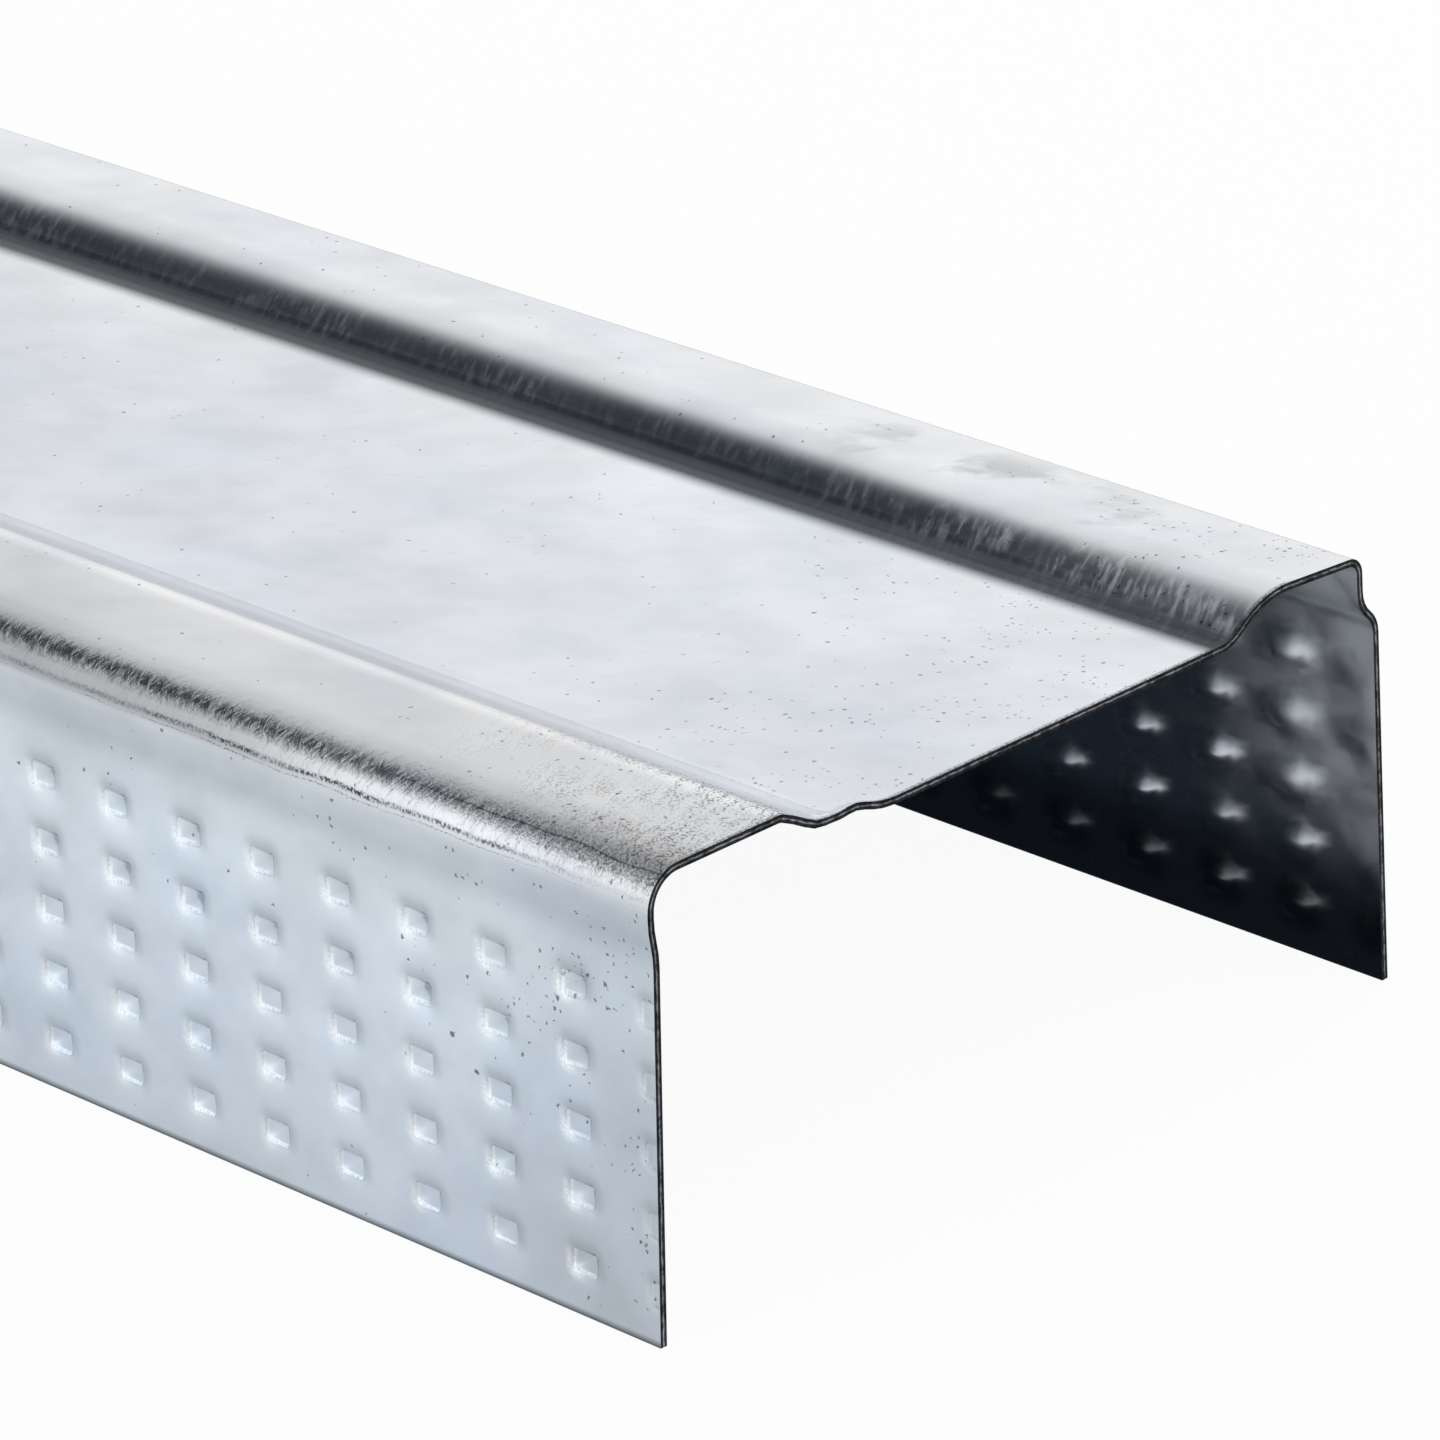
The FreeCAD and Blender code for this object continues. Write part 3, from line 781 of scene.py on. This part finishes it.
# The camera stands off the cut end, in metres, and looks along its heading, dipped and a little rolled.
cameraPlace = {
    "standOff": (0.3527, -0.3794, 0.2606),
    "heading": 135.27,
    "dip": 23.60,
    "roll": -2.27,
    "lens": 205.0,                   # millimetres
    "sensor": 36.0,
    "clip": (0.01, 200.0),
}


def placeCamera():
    data = bpy.data.cameras.new("camera")
    data.lens = cameraPlace["lens"]
    data.sensor_width = cameraPlace["sensor"]
    data.clip_start, data.clip_end = cameraPlace["clip"]
    camera = bpy.data.objects.new("camera", data)
    bpy.context.scene.collection.objects.link(camera)
    offX, offY, offZ = cameraPlace["standOff"]
    turn = Matrix.Rotation(math.radians(cameraPlace["heading"] - 90), 4, "Z")
    tilt = Matrix.Rotation(math.radians(90 - cameraPlace["dip"]), 4, "X")
    roll = Matrix.Rotation(math.radians(cameraPlace["roll"]), 4, "Z")
    camera.matrix_world = Matrix.Translation((high.x + offX, offY, offZ)) @ turn @ tilt @ roll
    bpy.context.scene.camera = camera


# The floor in metres, the dome's light, and soft round patches on the dome: heading and height in degrees,
# full and outer radius in degrees, colour, and strength.
studio = {
    "floorHalf": 60.0,
    "floorDrop": 1e-5,               # below the toes
    "floorColour": "#FAFAFA",
    "floorGlow": 0.94,               # share of plain white in the floor that the camera and the metal see
    "underTrack": "#161C24",         # the floor in the track's own shade, as the metal sees it
    "underLit": "#F4F6F8",           # and where light comes in at the cut end
    "underPast": 0.003,              # how far the shade reaches past the cut end
    "underSoft": 0.002,
    "underInset": 0.0005,            # and how far inside the toes it ends
    "litInside": (0.042, 0.006),     # how far inside the cut end the light starts and is full
    "litAcross": (0.012, -0.010),    # and at which Y
    "besideDim": 0.35,               # how much the painted shade darkens the floor beside the track at its foot
    "besideReach": 0.045,
    "dome": "#FFFFFF",
    "patches": [
        (200, 47, 15, 37, "#30363E", 1.0),    # a dark cloth above the hidden end
        (232, 12, 22, 42, "#FFFFFF", 1.18),   # a low white panel beside the near flange
    ],
}


def buildFloor():
    half = studio["floorHalf"]
    mesh = bpy.data.meshes.new("studio_floor")
    corners = np.array([[-1, -1], [1, -1], [1, 1], [-1, 1]]) * half
    corners = np.column_stack([corners, np.full(4, low.z - studio["floorDrop"])])
    mesh.from_pydata(corners.tolist(), [], [[0, 1, 2, 3]])
    material, tree = newMaterial("matt_white_floor")
    matt = addNode(tree, "BsdfDiffuse", {"Color": linear(studio["floorColour"])})
    camera = addNode(tree, "LightPath", take="Is Camera Ray")
    glossy, clear = camera.node.outputs["Is Glossy Ray"], camera.node.outputs["Is Transmission Ray"]
    place = addNode(tree, "TexCoord", take="Object")
    x = addNode(tree, "SeparateXYZ", {0: place}, take="X")
    y = x.node.outputs["Y"]
    # Beside the near flange the metal sees a floor with a painted shade at the track's foot, which grows
    # lighter
    # with distance: 1 less the dimming times the exponential of minus the distance over its reach.
    away = addNode(tree, "Math", {0: y, 1: 1 / studio["besideReach"], 2: -low.y / studio["besideReach"]},
                   **timesPlus)
    away = addNode(tree, "Math", {0: away, 1: 0.0}, operation="MINIMUM")
    dim = addNode(tree, "Math", {0: math.e, 1: away}, operation="POWER")
    dim = addNode(tree, "Math", {0: dim, 1: glossy}, **times)
    shine = addNode(tree, "Math", {0: dim, 1: -studio["besideDim"], 2: 1.0}, **timesPlus)
    white = addNode(tree, "Emission", {"Color": linear("#FFFFFF"), "Strength": shine})
    seen = addNode(tree, "Math", {0: camera, 1: glossy}, **larger)
    seen = addNode(tree, "Math", {0: seen, 1: clear}, **larger)
    seen = addNode(tree, "Math", {0: seen, 1: studio["floorGlow"]}, **times)
    shown = addNode(tree, "MixShader", {0: seen, 1: matt, 2: white})
    # under the track it sees the track's own shade, and light from the cut end in it
    under = between(tree, x, low.x, high.x + studio["underPast"], studio["underSoft"])
    inset = studio["underInset"]
    underSide = between(tree, y, low.y + inset, high.y - inset, inset)
    for mask in (underSide, glossy):
        under = addNode(tree, "Math", {0: under, 1: mask}, **times)
    litAlong = [high.x - inside for inside in studio["litInside"]]
    lit = addNode(tree, "MapRange", {0: x}, span=(*litAlong, 0.0, 1.0), **smooth)
    litSide = addNode(tree, "MapRange", {0: y}, span=(*studio["litAcross"], 0.0, 1.0), **smooth)
    lit = addNode(tree, "Math", {0: lit, 1: litSide}, **times)
    shadeTones = [linear(studio[name]) for name in ("underTrack", "underLit")]
    shadeTone = addNode(tree, "Mix", {0: lit, 6: shadeTones[0], 7: shadeTones[1]}, **colours)
    shade = addNode(tree, "Emission", {"Color": shadeTone, "Strength": 1.0})
    shown = addNode(tree, "MixShader", {0: under, 1: shown, 2: shade})
    addNode(tree, "OutputMaterial", {"Surface": shown})
    mesh.materials.append(material)
    floor = bpy.data.objects.new("studio_floor", mesh)
    bpy.context.scene.collection.objects.link(floor)


def lightStudio():
    # A white dome with soft round patches: the cosine from each patch's middle mixes its strength in.
    world = bpy.data.worlds.new("studio_dome")
    bpy.context.scene.world = world
    world.use_nodes = True
    tree = world.node_tree
    tree.nodes.clear()
    direction = addNode(tree, "TexCoord", take="Generated")
    light = linear(studio["dome"])
    for heading, rise, full, outer, colour, strength in studio["patches"]:
        turn, tilt = math.radians(heading), math.radians(rise)
        middle = (math.cos(turn) * math.cos(tilt), math.sin(turn) * math.cos(tilt), math.sin(tilt))
        cosine = addNode(tree, "VectorMath", {0: direction, 1: middle}, operation="DOT_PRODUCT", take="Value")
        rim = [math.cos(math.radians(radius)) for radius in (outer, full)]
        patch = addNode(tree, "MapRange", {0: cosine}, span=(*rim, 0.0, 1.0), **smooth)
        glow = tuple(strength * part for part in linear(colour)[:3]) + (1.0,)
        light = addNode(tree, "Mix", {0: patch, 6: light, 7: glow}, **colours)
    shader = addNode(tree, "Background", {"Color": light, "Strength": 1.0})
    addNode(tree, "OutputWorld", {"Surface": shader})


placeCamera()
buildFloor()
lightStudio()
bpy.context.scene.view_settings.view_transform = "Standard"
print("camera, floor and light placed")
